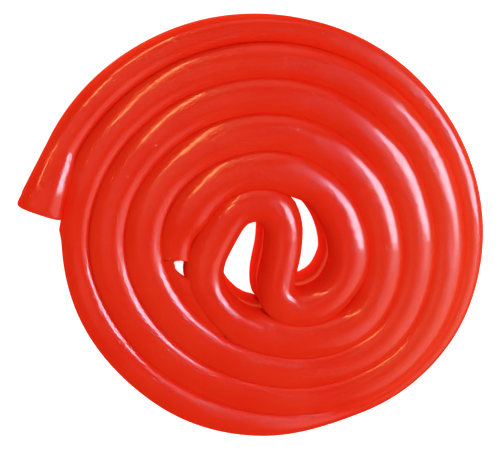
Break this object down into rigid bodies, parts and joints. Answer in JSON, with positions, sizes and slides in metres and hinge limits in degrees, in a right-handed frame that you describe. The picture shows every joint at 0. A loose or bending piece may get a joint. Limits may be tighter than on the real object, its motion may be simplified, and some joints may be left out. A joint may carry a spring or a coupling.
{
  "type": "gummy strawberry wheel",
  "caption": "Strawberry red fruit gum lace wound into a flat wheel, with an S fold at its heart and a cut outer end that stands off the rim.",
  "frame": {"origin": "middle of the wheel's box on the plane that it lies on", "axes": "+Z up, square to the face of the wheel; +X to the right and +Y up in the picture; the outer end stands off at -X"},
  "size_m": [0.056, 0.0516, 0.0083],
  "materials": {
    "gummy": "soft fruit gum, slightly see-through, with a thin oily gloss over a finely pebbled skin; gloss plastic stands in for it"
  },
  "bodies": {
    "root": {"lace": "gummy"}
  },
  "joints": []
}
